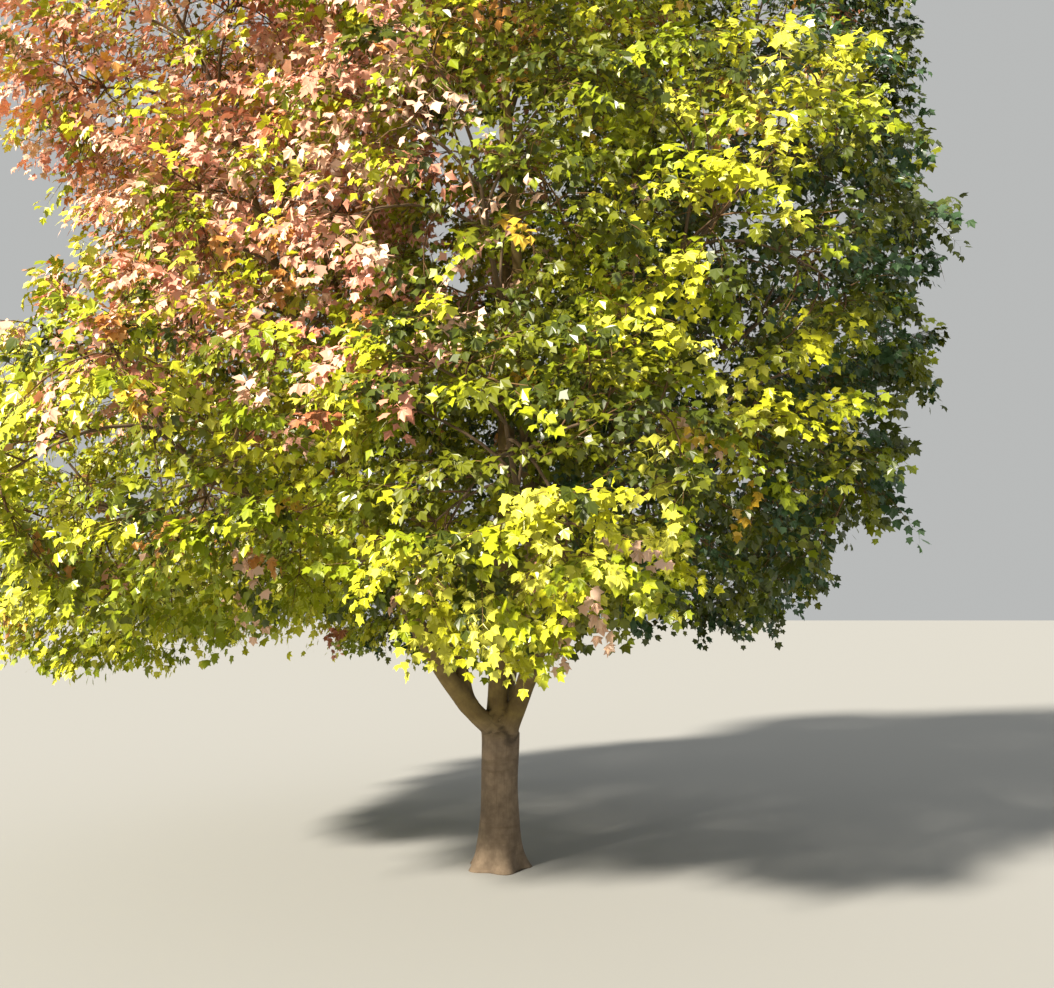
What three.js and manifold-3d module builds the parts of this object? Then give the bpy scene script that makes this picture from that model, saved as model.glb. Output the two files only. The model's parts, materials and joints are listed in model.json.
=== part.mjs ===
// A young maple tree in early autumn, in millimetres, +Z up, on the flat cut at the foot of its trunk.
// A short trunk forks into a leader and four outer stems. Boughs leave the stems in tiers,
// and each bough or stem ends in one mass of leafy twigs. +X is the right of the crown, +Y its back.
import * as THREE from "three";
import { mergeVertices } from "three/addons/utils/BufferGeometryUtils.js";
import Module from "manifold-3d";

const wasm = await Module();
wasm.setup();

// Driving dimensions of the trunk
const TRUNK_RADIUS = 125;
const FLARE_RADIUS = 200;
const FLARE_HEIGHT = 130;
const ROOT_LOBES = 5;
const ROOT_LOBE_DEPTH = 0.13;
const TRUNK_TOP = 1080;
const TRUNK_TOP_SHARE = 0.5;
const TRUNK_LEAN = 12;
const TRUNK_TUBE = { sides: 15, steps: 6 };

// The height that the stubs of the stems reach on the trunk's solid
const STUB_TOP = 1620;

// Gaps between solids that touch, and between a mass and everything that it must keep clear of
const SEAT_GAP = 0.3;
const CLEARANCE = 6;

// The leader and the outer stems. An outer stem rises towards the mass that it ends in, of the upper tier,
// in the same order. start is the height it starts at, offset how far from the trunk's middle, and swing the
// angle of that start past the mass's azimuth. Where from names a stem, it starts on that stem instead.
// lean is its angle from upright up to its bend, bend the rise of that bend, and radius that at the start.
const LEADER = { name: "leader", start: 930, offset: 30, swing: 180, radius: 73, drift: 130 };
const OUTER_STEMS = [
  { name: "right", start: 820, offset: 50, swing: -55, lean: 21, bend: 1150, radius: 65 },
  { name: "back_right", start: 930, offset: 50, swing: 40, lean: 24, bend: 1050, radius: 54 },
  { name: "back_left", start: 1080, from: "left", lean: 10, bend: 600, radius: 49 },
  { name: "left", start: 905, offset: 50, swing: 0, lean: 61, bend: 380, radius: 64 },
  { name: "front", start: 1260, from: "right", lean: 30, bend: 800, radius: 46 },
];
const STEM_TUBE = { sides: 8, steps: 7 };
const STUB_STEPS = 3;

// Boughs: radius where they leave their stem, the rise from each to its neighbour on the same stem, and
// the place of their bend as a share of the way out and of the way up. Every limb ends at one tip radius,
// at a share of its mass's half width before the middle of the mass.
const BOUGH_RADIUS = { low: 36, middle: 33, top: 27 };
const BOUGH_STEP = 260;
const BOUGH_BEND = { out: 0.45, up: 0.8 };
const BOUGH_TUBE = { sides: 6, steps: 3 };
const LIMB_TIP_RADIUS = 19;
const LIMB_STOP = 0.5;

// Tiers of foliage. Each is a ring of masses at one height: reach is how far the centres stand from the axis,
// size the half width of a mass, turn the azimuth of the first, shift moves the ring along X,
// and tilt lowers its left side. leaves is the height on its stem at which a bough leaves for this tier.
const TIERS = {
  low: { count: 8, height: 2600, reach: 2000, size: 1200, turn: -30, shift: -520, tilt: 120, leaves: 1760 },
  middle: { count: 8, height: 3850, reach: 1820, size: 1180, turn: -8, shift: 130, tilt: 0, leaves: 2650 },
  upper: { count: 5, height: 5330, reach: 1930, size: 1230, turn: -8, shift: -280, tilt: 0 },
  top: { count: 3, height: 6730, reach: 830, size: 1120, turn: 30, shift: -120, tilt: 0, leaves: 5200 },
  tip: { count: 1, height: 7430, reach: 0, size: 980, turn: 0, shift: -60, tilt: 0 },
};
const MASS_FLATNESS = 0.95;
const CROWN_HEART = new THREE.Vector3(-100, 0, 3600);
const ZIGZAG = 110;
const JITTER = { azimuth: 5, height: 90, reach: 80, size: 0.04 };

// Twigs. The stem of a mass runs on from its limb past the middle of the mass. Twigs leave it one after
// another for aim points in the outer shell of the mass, which lean away from the heart of the crown.
const STEM_PAST_MIDDLE = 0.45;
const STEM_BEND = 0.25;
const STEM_RADIUS = { root: 19, tip: 16 };
const TWIGS_PER_MASS = 7;
const TWIG_RADIUS = { root: 9, tip: 7 };
const TWIG_START = { first: 0.1, last: 0.95 };
const AIM_SHELL = { inner: 0.48, outer: 0.68 };
const AIM_TRIES = 24;
const OUTWARD_BIAS = 0.4;

// Sprays. One plate of eight faces stands for a whole spray of leaves: its places along a twig, the swing
// to either hand and its spread in degrees, the droop as fall per run, the roll in degrees,
// and the scales that are tried.
const SPRAY = { length: 780, width: 690, thickness: 10, widest: 0.45, thickest: 0.22 };
const SPRAY_PLACES = [0.45, 0.75, 0.985];
const SPRAY_SWING = { mean: 58, spread: 20 };
const SPRAY_DROOP = { least: 0.2, most: 1.5 };
const SPRAY_ROLL = 40;
const SPRAY_SCALES = [1, 1, 1, 0.85, 0.85, 0.85, 0.7, 0.7, 0.7, 0.6, 0.6, 0.6];
const SEED = { crown: 41, step: 979 };

// Colours and finish, from the bark and the leaves in daylight
const LOOKS = {
  bark: { color: 0x6f5d47, roughness: 0.92 },
  leaf_lime: { color: 0xa9b52b, roughness: 0.6 },
  leaf_green: { color: 0x5d7a22, roughness: 0.6 },
  leaf_autumn: { color: 0xc97a55, roughness: 0.62 },
};
const TURNED_ABOVE = 4200;
const materials = Object.fromEntries(
  Object.entries(LOOKS).map(([name, look]) => [
    name,
    new THREE.MeshStandardMaterial({ name, metalness: 0, side: THREE.DoubleSide, ...look }),
  ]),
);

// Random numbers from 0 to 1 that are the same at every run
function seeded(seed) {
  let state = seed >>> 0;
  return () => {
    state = (state + 0x6d2b79f5) >>> 0;
    let mixed = Math.imul(state ^ (state >>> 15), state | 1);
    mixed ^= mixed + Math.imul(mixed ^ (mixed >>> 7), mixed | 61);
    return ((mixed ^ (mixed >>> 14)) >>> 0) / 4294967296;
  };
}

const degrees = THREE.MathUtils.degToRad;
const outward = (azimuth) => new THREE.Vector3(Math.cos(degrees(azimuth)), Math.sin(degrees(azimuth)), 0);

// A closed geometry as a solid for joining and cutting
function solidOf(geometry) {
  const bare = geometry.clone();
  bare.deleteAttribute("normal");
  bare.deleteAttribute("uv");
  const merged = mergeVertices(bare, 1e-4);
  return new wasm.Manifold(
    new wasm.Mesh({
      numProp: 3,
      vertProperties: new Float32Array(merged.attributes.position.array),
      triVerts: new Uint32Array(merged.index.array),
    }),
  );
}

// A solid back as a geometry
function geometryOf(solid) {
  const { vertProperties, triVerts } = solid.getMesh();
  const geometry = new THREE.BufferGeometry();
  geometry.setAttribute("position", new THREE.BufferAttribute(new Float32Array(vertProperties), 3));
  geometry.setIndex(new THREE.BufferAttribute(new Uint32Array(triVerts), 1));
  geometry.computeVertexNormals();
  return geometry;
}

// A tapered tube: a closed cylinder whose rings are carried along a stretch of a curve
function taperedTube(curve, radiusAt, { from = 0, to = 1, sides = 8, steps = 6 } = {}) {
  const tube = new THREE.CylinderGeometry(1, 1, 1, sides, steps);
  const place = tube.attributes.position;
  const side = new THREE.Vector3();
  const across = new THREE.Vector3();
  const upright = curve.getTangentAt(0.5).z > 0.75;
  const reference = new THREE.Vector3(upright ? 1 : 0, 0, upright ? 0 : 1);
  for (let i = 0; i < place.count; i++) {
    const u = from + (to - from) * (place.getY(i) + 0.5);
    const tangent = curve.getTangentAt(u);
    side.crossVectors(reference, tangent).normalize();
    across.crossVectors(tangent, side);
    const point = curve.getPointAt(u);
    const radius = radiusAt(u);
    point.addScaledVector(side, place.getZ(i) * radius);
    point.addScaledVector(across, place.getX(i) * radius);
    place.setXYZ(i, point.x, point.y, point.z);
  }
  return solidOf(tube);
}

// The share of a rising curve's length at which it reaches a height
function shareAtHeight(curve, height) {
  let low = 0;
  let high = 1;
  for (let i = 0; i < 30; i++) {
    const middle = (low + high) / 2;
    if (curve.getPointAt(middle).z < height) low = middle;
    else high = middle;
  }
  return low;
}

// Foliage masses: centre, half width and half height, from the tiers
function makeMasses() {
  const random = seeded(SEED.crown);
  const spread = (amount) => (2 * random() - 1) * amount;
  const masses = [];
  for (const [tier, ring] of Object.entries(TIERS)) {
    for (let k = 0; k < ring.count; k++) {
      const azimuth = ring.turn + (360 * k) / ring.count + spread(JITTER.azimuth);
      const reach = ring.reach > 0 ? ring.reach + spread(JITTER.reach) : 0;
      const size = ring.size * (1 + spread(JITTER.size));
      const lift = ring.count > 1 ? spread(JITTER.height) + ZIGZAG * (-1) ** k : 0;
      const centre = outward(azimuth).multiplyScalar(reach);
      centre.z = ring.height + lift + ring.tilt * Math.cos(degrees(azimuth));
      centre.x += ring.shift;
      const half = new THREE.Vector3(size, size, MASS_FLATNESS * size);
      masses.push({ index: masses.length, tier, k, azimuth, centre, size, half });
    }
  }
  return masses;
}

// Where a limb that comes from start ends: some way before the middle of its mass
function entrance(start, mass) {
  const back = start.clone().sub(mass.centre).normalize();
  return mass.centre.clone().addScaledVector(back, LIMB_STOP * mass.size);
}

// A stem rises from the fork or from its parent stem, leans out to its bend and straightens towards its mass
function stemCurve(stem, mass, parent) {
  const start = new THREE.Vector3(TRUNK_LEAN, 0, stem.start);
  if (parent) start.copy(parent.curve.getPointAt(shareAtHeight(parent.curve, stem.start)));
  else start.addScaledVector(outward(mass.azimuth + stem.swing), stem.offset);
  if (stem.drift) {
    const bend = new THREE.Vector3(stem.drift, stem.drift, (start.z + mass.centre.z) / 2);
    return new THREE.QuadraticBezierCurve3(start, bend, entrance(start, mass));
  }
  const bend = start.clone().addScaledVector(outward(mass.azimuth), stem.bend * Math.tan(degrees(stem.lean)));
  bend.z += stem.bend;
  return new THREE.QuadraticBezierCurve3(start, bend, entrance(start, mass));
}

// A bough leaves the middle of its stem, rises, and levels out towards its mass
function boughCurve(stem, leaves, mass) {
  const start = stem.curve.getPointAt(shareAtHeight(stem.curve, leaves));
  const end = entrance(start, mass);
  const bend = start.clone().lerp(end, BOUGH_BEND.out);
  bend.z = THREE.MathUtils.lerp(start.z, end.z, BOUGH_BEND.up);
  return new THREE.QuadraticBezierCurve3(start, bend, end);
}

// Limb radius along its length, thick at the fork and slender at the tip
const taper = (from, to) => (u) => to + (from - to) * (1 - u) ** 0.8;

// The trunk: a root flare with shallow lobes, a nearly even shaft that draws in under the fork, and the stubs
// of the stems. Its rings stand closer together near the ground.
function trunkSolid(stems) {
  const shaft = new THREE.CylinderGeometry(1, 1, 1, TRUNK_TUBE.sides, TRUNK_TUBE.steps);
  const place = shaft.attributes.position;
  for (let i = 0; i < place.count; i++) {
    const share = place.getY(i) + 0.5;
    const z = TRUNK_TOP * share ** 1.2;
    const angle = Math.atan2(place.getZ(i), place.getX(i));
    const flare = Math.exp(-z / FLARE_HEIGHT);
    const lobes = 1 + ROOT_LOBE_DEPTH * flare * Math.cos(ROOT_LOBES * angle);
    const top = share > 0.99 ? TRUNK_TOP_SHARE : 1;
    const radius = (TRUNK_RADIUS + (FLARE_RADIUS - TRUNK_RADIUS) * flare) * lobes * top;
    const lean = TRUNK_LEAN * share;
    place.setXYZ(i, place.getZ(i) * radius + lean, place.getX(i) * radius, z);
  }
  const stubs = stems.map(({ curve, radiusAt, seat }) =>
    taperedTube(curve, radiusAt, { ...STEM_TUBE, to: seat, steps: STUB_STEPS }),
  );
  return wasm.Manifold.union([solidOf(shaft), ...stubs]);
}

// True if the whole of a small solid lies in its mass's space: inside its ellipsoid, and clear of the flat
// boundaries that part it from the masses around it
function keepsToSpace(points, mass, masses) {
  const scaled = new THREE.Vector3();
  for (const point of points) {
    scaled.subVectors(point, mass.centre).divide(mass.half);
    if (scaled.lengthSq() > 1) return false;
    const own = point.distanceToSquared(mass.centre) - mass.size ** 2;
    for (const other of masses) {
      if (other === mass) continue;
      const theirs = point.distanceToSquared(other.centre) - other.size ** 2;
      const gap = (theirs - own) / (2 * other.centre.distanceTo(mass.centre));
      if (gap < CLEARANCE / 2) return false;
    }
  }
  return true;
}

// A spray: a flat plate of eight faces, pointed at root and tip, thickest near the root
const sprayShape = (() => {
  const shape = new THREE.OctahedronGeometry(1);
  const place = shape.attributes.position;
  for (let i = 0; i < place.count; i++) {
    const [x, y, z] = [place.getX(i), place.getY(i), place.getZ(i)];
    const along = (y + 1) / 2 + Math.abs(x) * (SPRAY.widest - 0.5) + Math.abs(z) * (SPRAY.thickest - 0.5);
    place.setXYZ(i, (x * SPRAY.width) / 2, along * SPRAY.length, (z * SPRAY.thickness) / 2);
  }
  return shape;
})();

// The root and the corners of a spray, for the test of space
const sprayCorners = [
  new THREE.Vector3(0, 0, 0),
  new THREE.Vector3(-SPRAY.width / 2, SPRAY.widest * SPRAY.length, 0),
  new THREE.Vector3(SPRAY.width / 2, SPRAY.widest * SPRAY.length, 0),
  new THREE.Vector3(0, SPRAY.length, 0),
];

// The matrix that lays a spray with its root at a point and its length along a way. Its face is turned
// to the sky and then rolled about its length.
function sprayPlace(root, way, roll, scale) {
  const length = way.clone().normalize();
  const face = new THREE.Vector3(0, 0, 1).addScaledVector(length, -length.z);
  if (face.lengthSq() < 0.01) face.set(1, 0, 0);
  face.normalize().applyAxisAngle(length, degrees(roll));
  const width = new THREE.Vector3().crossVectors(length, face);
  return new THREE.Matrix4()
    .makeBasis(width, length, face)
    .scale(new THREE.Vector3(scale, scale, scale))
    .setPosition(root);
}

// Even aim points in the outer shell of a mass: each is the one of several tries furthest from the rest
function aimPoints(mass, masses, random) {
  const aims = [];
  const outwards = mass.centre.clone().sub(CROWN_HEART).normalize();
  for (let n = 0; n < TWIGS_PER_MASS; n++) {
    let best = null;
    let bestGap = -1;
    for (let i = 0; i < AIM_TRIES; i++) {
      const aim = new THREE.Vector3(random() - 0.5, random() - 0.5, random() - 0.5).normalize();
      aim.addScaledVector(outwards, OUTWARD_BIAS).normalize();
      aim.multiplyScalar(THREE.MathUtils.lerp(AIM_SHELL.inner, AIM_SHELL.outer, random()));
      aim.multiply(mass.half).add(mass.centre);
      if (!keepsToSpace([aim], mass, masses)) continue;
      const gap = Math.min(...aims.map((other) => other.distanceTo(aim)), Infinity);
      if (gap > bestGap) [best, bestGap] = [aim, gap];
    }
    if (best) aims.push(best);
  }
  return aims;
}

// One mass of foliage: a stem from the limb's tip, twigs that leave it for the aim points, and sprays
// on the twigs. What would leave the mass's space, touch a limb or cross another spray is left out.
function foliageSolid(mass, masses, limbs) {
  const random = seeded(SEED.crown + SEED.step * (mass.index + 1));
  const wayIn = mass.limb.curve.getTangentAt(1);
  const root = mass.limb.curve.getPointAt(1).addScaledVector(wayIn, SEAT_GAP);
  const bend = root.clone().addScaledVector(wayIn, STEM_BEND * mass.size);
  const tip = mass.centre.clone().lerp(root, -STEM_PAST_MIDDLE);
  const stem = new THREE.QuadraticBezierCurve3(root, bend, tip);
  const stemRadius = taper(STEM_RADIUS.root, STEM_RADIUS.tip);
  const twigRadius = taper(TWIG_RADIUS.root, TWIG_RADIUS.tip);
  const wood = [taperedTube(stem, stemRadius, { sides: 4, steps: 3 })];
  const sprays = [];
  const free = (solid) => [limbs, ...sprays].every((other) => solid.intersect(other).isEmpty());

  // A spray on a twig, turned to one hand or straight on. Later tries are turned afresh and smaller.
  function addSpray(twig, fraction, hand) {
    for (const scale of SPRAY_SCALES) {
      const way = twig.getTangentAt(fraction);
      const swing = hand * SPRAY_SWING.mean + SPRAY_SWING.spread * (2 * random() - 1);
      way.applyAxisAngle(new THREE.Vector3(0, 0, 1), degrees(swing));
      way.z -= THREE.MathUtils.lerp(SPRAY_DROOP.least, SPRAY_DROOP.most, random());
      const place = sprayPlace(twig.getPointAt(fraction), way, SPRAY_ROLL * (2 * random() - 1), scale);
      const corners = sprayCorners.map((corner) => corner.clone().applyMatrix4(place));
      if (!keepsToSpace(corners, mass, masses)) continue;
      const solid = solidOf(sprayShape.clone().applyMatrix4(place));
      if (!free(solid)) continue;
      sprays.push(solid);
      return;
    }
  }

  const alongStem = (aim) => aim.clone().sub(root).dot(wayIn);
  const aims = aimPoints(mass, masses, random).sort((a, b) => alongStem(a) - alongStem(b));
  for (const [n, aim] of aims.entries()) {
    const start = THREE.MathUtils.lerp(TWIG_START.first, TWIG_START.last, n / aims.length);
    const twig = new THREE.LineCurve3(stem.getPointAt(start), aim);
    const solid = taperedTube(twig, twigRadius, { sides: 3, steps: 1 });
    if (!free(solid)) continue;
    wood.push(solid);
    const side = random() < 0.5 ? -1 : 1;
    SPRAY_PLACES.forEach((fraction, place) => {
      const last = place === SPRAY_PLACES.length - 1;
      addSpray(twig, fraction, last ? 0 : side * (-1) ** place);
    });
  }
  addSpray(stem, SPRAY_PLACES.at(-1), 0);
  return largestBody(wasm.Manifold.union([...wood, ...sprays]));
}

// The largest of the bodies that a union leaves, so that a scrap which missed its twig is dropped
function largestBody(solid) {
  return solid.decompose().reduce((best, body) => (body.volume() > best.volume() ? body : best));
}

const masses = makeMasses();
const massesIn = (tier) => masses.filter((mass) => mass.tier === tier);

// Stems: the outer ones end in the upper tier, and the leader in the tip of the crown
const stems = [
  ...OUTER_STEMS.map((stem, k) => ({ ...stem, mass: massesIn("upper")[k] })),
  { ...LEADER, mass: massesIn("tip")[0] },
];
const parting = stems.filter((stem) => stem.from);
for (const stem of [...stems.filter((stem) => !stem.from), ...parting]) {
  const parent = stems.find((other) => other.name === stem.from);
  stem.curve = stemCurve(stem, stem.mass, parent);
  stem.radiusAt = taper(stem.radius, LIMB_TIP_RADIUS);
  stem.seat = shareAtHeight(stem.curve, STUB_TOP);
  stem.mass.limb = stem;
}
const leader = stems[stems.length - 1];

// Boughs: the low and middle tiers hang on the outer stem of the nearest azimuth, the top tier on the leader
const boughs = [];
const turnBetween = (a, b) => Math.abs(THREE.MathUtils.euclideanModulo(a - b + 180, 360) - 180);
const nearestStem = (azimuth) =>
  stems.slice(0, -1).reduce((best, stem) =>
    turnBetween(stem.mass.azimuth, azimuth) < turnBetween(best.mass.azimuth, azimuth) ? stem : best,
  );
for (const tier of ["low", "middle", "top"]) {
  for (const mass of massesIn(tier)) {
    const stem = tier === "top" ? leader : nearestStem(mass.azimuth);
    const curve = boughCurve(stem, TIERS[tier].leaves + BOUGH_STEP * (mass.k % 2), mass);
    const bough = { name: `${tier}_${mass.k + 1}`, stem, mass, curve };
    bough.radiusAt = taper(BOUGH_RADIUS[tier], LIMB_TIP_RADIUS);
    mass.limb = bough;
    boughs.push(bough);
  }
}

const tree = new THREE.Group();
function addNode(name, solid, look) {
  const mesh = new THREE.Mesh(geometryOf(solid), materials[look]);
  mesh.name = name;
  tree.add(mesh);
}

// A limb as a solid, grown on all sides by a clearance
const stemSolid = ({ curve, radiusAt, seat }, growth = 0) => {
  const from = seat + SEAT_GAP / curve.getLength();
  return taperedTube(curve, (u) => radiusAt(u) + growth, { ...STEM_TUBE, from });
};
const boughSolid = ({ curve, radiusAt }, growth = 0) =>
  taperedTube(curve, (u) => radiusAt(u) + growth, BOUGH_TUBE);

// Wood: the trunk with the stubs of its stems, each stem from its stub on, and each bough cut clear
// of its stem and of the boughs that leave the same stem before it
addNode("trunk", trunkSolid(stems), "bark");
for (const stem of stems) addNode(`stem_${stem.name}`, stemSolid(stem), "bark");
boughs.forEach((bough, place) => {
  const earlier = boughs.slice(0, place).filter((other) => other.stem === bough.stem);
  const cuts = earlier.map((other) => boughSolid(other, 2 * SEAT_GAP));
  cuts.push(stemSolid(bough.stem, 2 * SEAT_GAP));
  const cut = boughSolid(bough).subtract(wasm.Manifold.union(cuts));
  addNode(`bough_${bough.name}`, largestBody(cut), "bark");
});

// Foliage keeps clear of every limb. The upper left of the crown has turned, its lower left is lime,
// and the right is green: a mass counts as turned above a slanted line.
const limbs = wasm.Manifold.union([
  trunkSolid(stems),
  ...stems.map((stem) => stemSolid(stem, CLEARANCE)),
  ...boughs.map((bough) => boughSolid(bough, CLEARANCE)),
]);
for (const mass of masses) {
  const turned = mass.centre.z - 0.5 * mass.centre.x > TURNED_ABOVE;
  const sunny = mass.centre.x < 0;
  const look = turned && sunny ? "leaf_autumn" : sunny ? "leaf_lime" : "leaf_green";
  addNode(`foliage_${mass.tier}_${mass.k + 1}`, foliageSolid(mass, masses, limbs), look);
}

export default tree;
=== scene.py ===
# A young maple in early autumn: a short forked trunk under a broad crown of lobed leaves on opposite twigs.
# Metres, +Z up, on the flat cut at the foot of the trunk. +X is the right of the crown and +Y its back.
import json

import bpy
import numpy as np
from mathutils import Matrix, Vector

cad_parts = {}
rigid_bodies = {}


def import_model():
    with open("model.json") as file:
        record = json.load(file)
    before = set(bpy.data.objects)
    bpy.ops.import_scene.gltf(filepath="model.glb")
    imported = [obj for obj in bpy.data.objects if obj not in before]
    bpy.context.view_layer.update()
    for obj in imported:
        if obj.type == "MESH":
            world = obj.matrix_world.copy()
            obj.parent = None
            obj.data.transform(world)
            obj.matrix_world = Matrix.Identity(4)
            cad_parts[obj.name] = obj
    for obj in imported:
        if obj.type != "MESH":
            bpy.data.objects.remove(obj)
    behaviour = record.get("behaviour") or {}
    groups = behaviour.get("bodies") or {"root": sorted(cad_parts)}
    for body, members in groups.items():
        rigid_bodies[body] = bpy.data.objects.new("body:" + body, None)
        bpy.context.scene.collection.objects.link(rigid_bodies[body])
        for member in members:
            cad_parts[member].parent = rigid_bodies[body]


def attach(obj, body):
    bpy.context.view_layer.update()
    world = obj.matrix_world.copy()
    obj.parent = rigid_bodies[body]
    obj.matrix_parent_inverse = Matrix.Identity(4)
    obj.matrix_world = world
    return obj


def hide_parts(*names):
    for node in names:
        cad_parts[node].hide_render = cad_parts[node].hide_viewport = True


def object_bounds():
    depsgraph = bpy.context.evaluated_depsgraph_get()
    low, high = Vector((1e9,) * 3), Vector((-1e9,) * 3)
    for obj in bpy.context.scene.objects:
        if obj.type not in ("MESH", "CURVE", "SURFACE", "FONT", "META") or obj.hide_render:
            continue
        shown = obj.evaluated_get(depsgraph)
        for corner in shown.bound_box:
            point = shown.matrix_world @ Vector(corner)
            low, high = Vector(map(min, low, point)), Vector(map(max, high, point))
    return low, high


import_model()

solid_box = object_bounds()

# The crown's plan. A maple of this age carries its leaves in rounded masses, one at the end of each bough or
# stem, set in rings one above another. Each mass keeps to its own space, an ellipsoid with flat boundaries
# to its neighbours, as in the solids.
# Tier: masses, height, reach from the axis, half width, first azimuth, shift along X and fall to the left
TIERS = {
    "low": (8, 2.60, 2.00, 1.20, -30, -0.52, 0.12),
    "middle": (8, 3.85, 1.82, 1.18, -8, 0.13, 0),
    "upper": (5, 5.33, 1.93, 1.23, -8, -0.28, 0),
    "top": (3, 6.73, 0.83, 1.12, 30, -0.12, 0),
    "tip": (1, 7.43, 0, 0.98, 0, -0.06, 0),
}
MASS_SEED = 41
MASS_FLATNESS = 0.95
# The most that a mass differs from its tier, and the step by which masses stand higher and lower by turns
AZIMUTH_SPREAD = 5
REACH_SPREAD = 0.08
SIZE_SPREAD = 0.04
HEIGHT_SPREAD = 0.09
HEIGHT_STEP = 0.11


def even_numbers(seed):
    """Numbers from 0 to 1, the same at every run: a counter is stepped and its bits are mixed."""
    state = seed
    while True:
        state = (state + 0x6D2B79F5) & 0xFFFFFFFF
        mixed = ((state ^ (state >> 15)) * (state | 1)) & 0xFFFFFFFF
        mixed ^= (mixed + (mixed ^ (mixed >> 7)) * (mixed | 61)) & 0xFFFFFFFF
        yield (mixed ^ (mixed >> 14)) / 4294967296


def unit(vectors):
    """Each vector divided by its length."""
    return vectors / np.maximum(np.linalg.norm(vectors, axis=-1, keepdims=True), 1e-9)


def outward(azimuth):
    """The level direction of an azimuth in degrees: cosine along X and sine along Y."""
    return np.array([np.cos(np.radians(azimuth)), np.sin(np.radians(azimuth)), 0.0])


numbers = even_numbers(MASS_SEED)


def spread(most):
    """The next of the masses' numbers, stretched to lie between -most and most."""
    return (2 * next(numbers) - 1) * most


masses = []
for tier, (count, height, reach, size, turn, shift, tilt) in TIERS.items():
    for k in range(count):
        azimuth = turn + 360 * k / count + spread(AZIMUTH_SPREAD)
        far = reach + spread(REACH_SPREAD) if reach > 0 else 0
        half = size * (1 + spread(SIZE_SPREAD))
        lift = spread(HEIGHT_SPREAD) + HEIGHT_STEP * (-1) ** k if count > 1 else 0
        centre = far * outward(azimuth)
        centre += (shift, 0, height + lift + tilt * np.cos(np.radians(azimuth)))
        masses.append({"node": f"foliage_{tier}_{k + 1}", "tier": tier, "k": k, "azimuth": azimuth,
                       "centre": centre, "size": half})
centres = np.array([mass["centre"] for mass in masses])
sizes = np.array([mass["size"] for mass in masses])
halves = sizes[:, None] * (1, 1, MASS_FLATNESS)


def depth_in_crown(points):
    """How far points lie inside the crown: the greatest, over all masses, of (1 - |place|) times the mass's
    size, where |place| is one on the surface of its ellipsoid."""
    place = np.linalg.norm((points[..., None, :] - centres) / halves, axis=-1)
    return ((1 - place) * sizes).max(-1)


def in_space(points, m, clearance=0.003):
    """True inside mass m's ellipsoid and clear of its flat boundaries, where |p - c|^2 - r^2 is equal for two
    masses; the gap is half the difference over the distance between the centres."""
    power = ((points[:, None] - centres) ** 2).sum(-1) - sizes**2
    apart = np.linalg.norm(centres - centres[m], axis=1)
    apart[m] = 1
    gap = (power - power[:, [m]]) / (2 * apart)
    gap[:, m] = 1
    inside = (((points - centres[m]) / halves[m]) ** 2).sum(1) < 1
    return inside & (gap.min(1) > clearance)


# The limbs' lines. A stem rises from inside the fork, or from the stem that it parts from, leans out to its
# bend and straightens towards its mass, and a bough leaves a stem, rises and levels out. Each is a curve of
# three control points.
TRUNK_LEAN = 0.012
LEAN_HEIGHT = 1.08
LIMB_STOP = 0.5
LIMB_TIP_RADIUS = 0.019
# Start height, distance from the trunk's middle, swing past the mass's azimuth, lean in degrees, rise of the
# bend, radius at the start, and the stem that it parts from
OUTER_STEMS = {
    "right": (0.82, 0.05, -55, 21, 1.15, 0.065, None),
    "back_right": (0.93, 0.05, 40, 24, 1.05, 0.054, None),
    "back_left": (1.08, 0, 0, 10, 0.60, 0.049, "left"),
    "left": (0.905, 0.05, 0, 61, 0.38, 0.064, None),
    "front": (1.26, 0, 0, 30, 0.80, 0.046, "right"),
}
LEADER = (0.93, 0.03, 180, 0.13, 0.073)
BOUGH_RADIUS = {"low": 0.036, "middle": 0.033, "top": 0.027}
# The height on its stem at which a tier's first bough leaves, and how much higher every second one does
BOUGH_HEIGHT = {"low": 1.76, "middle": 2.65, "top": 5.20}
BOUGH_STEP = 0.26
# A bough bends at this share of its way, where it has risen this share of its height
BOUGH_BEND = 0.45
BOUGH_RISE = 0.8


def on_curve(control, shares):
    """Points at shares of a curve's length. The curve is (1-t)^2 a + 2t(1-t) b + t^2 c, and t is looked up
    from the length of 200 short chords."""
    def at(t):
        t = t[:, None]
        return (1 - t) ** 2 * control[0] + 2 * t * (1 - t) * control[1] + t**2 * control[2]
    dense = np.linspace(0, 1, 201)
    length = np.concatenate([[0], np.cumsum(np.linalg.norm(np.diff(at(dense), axis=0), axis=1))])
    return at(np.interp(np.asarray(shares) * length[-1], length, dense))


def entrance(start, mass):
    """Where a limb from start ends: half the mass's half width before its middle."""
    return mass["centre"] + LIMB_STOP * mass["size"] * unit(start - mass["centre"])


def tier_masses(tier):
    """The masses of one tier, in order."""
    return [mass for mass in masses if mass["tier"] == tier]


def at_height(control, height):
    """The point where a rising curve reaches a height, looked up among 400 of its points."""
    line = on_curve(control, np.linspace(0, 1, 400))
    return np.array([np.interp(height, line[:, 2], line[:, axis]) for axis in range(3)])


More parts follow.
